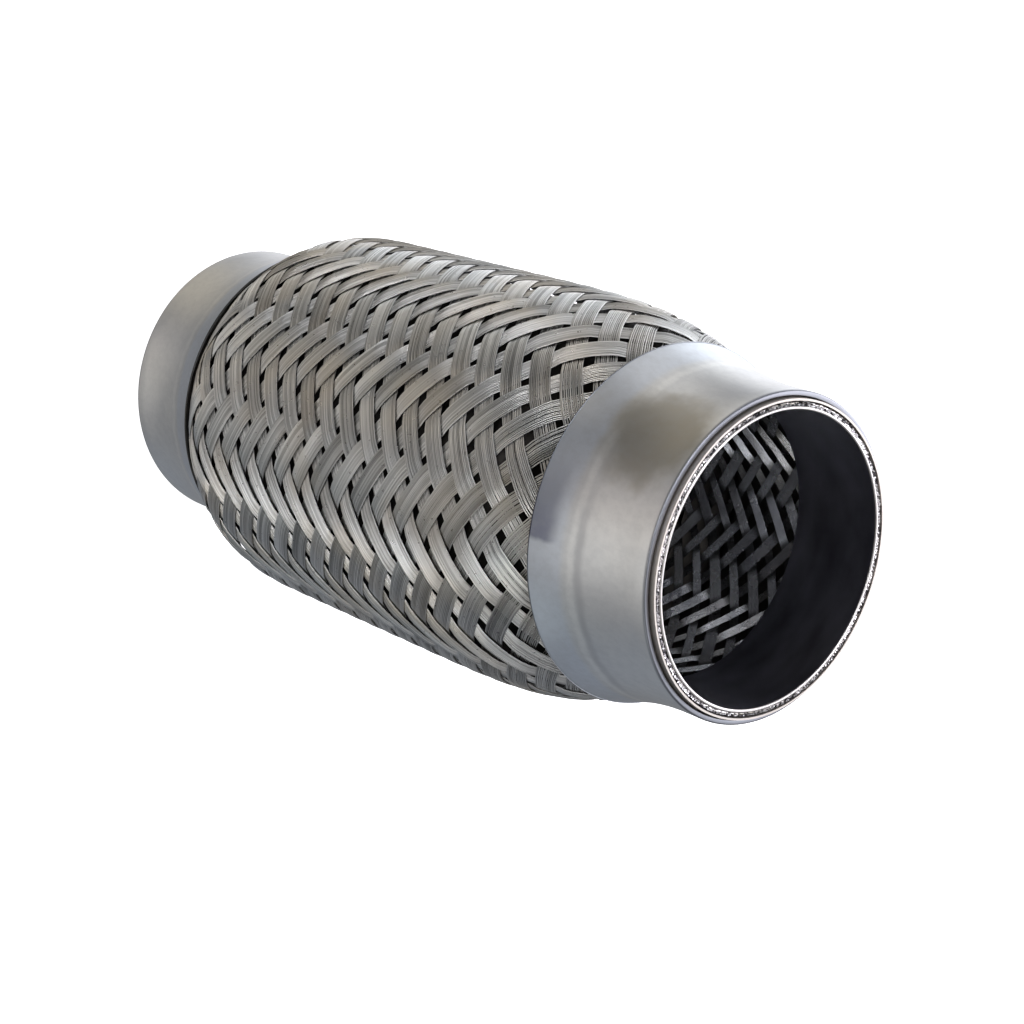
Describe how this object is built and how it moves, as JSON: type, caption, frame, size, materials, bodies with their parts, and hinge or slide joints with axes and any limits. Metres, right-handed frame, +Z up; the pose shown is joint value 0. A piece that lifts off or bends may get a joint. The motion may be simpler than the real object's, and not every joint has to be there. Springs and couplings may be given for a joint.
{
  "type": "exhaust flex pipe",
  "caption": "Straight flexible exhaust connector: a braided metal tube over a hidden bellows, with a flared collar and a short inner sleeve at each open end.",
  "frame": {"origin": "centre of the lower open end, on the plane that the pipe stands on", "axes": "+Z up along the pipe's axis, towards the open end that the picture shows; X and Y are across the pipe"},
  "size_m": [0.0738, 0.0738, 0.1536],
  "materials": {
    "collar_steel": "satin, drawn and swaged sheet",
    "braid_wire": "woven drawn wire, warm grey",
    "liner_wire": "woven drawn wire, dull",
    "bellows_steel": "thin rolled sheet",
    "sleeve_steel": "smooth rolled strip"
  },
  "bodies": {
    "root": {"lower_collar": "collar_steel", "upper_collar": "collar_steel", "outer_braid": "braid_wire", "bellows": "bellows_steel", "inner_braid": "liner_wire", "lower_inner_sleeve": "sleeve_steel", "upper_inner_sleeve": "sleeve_steel"}
  },
  "joints": []
}
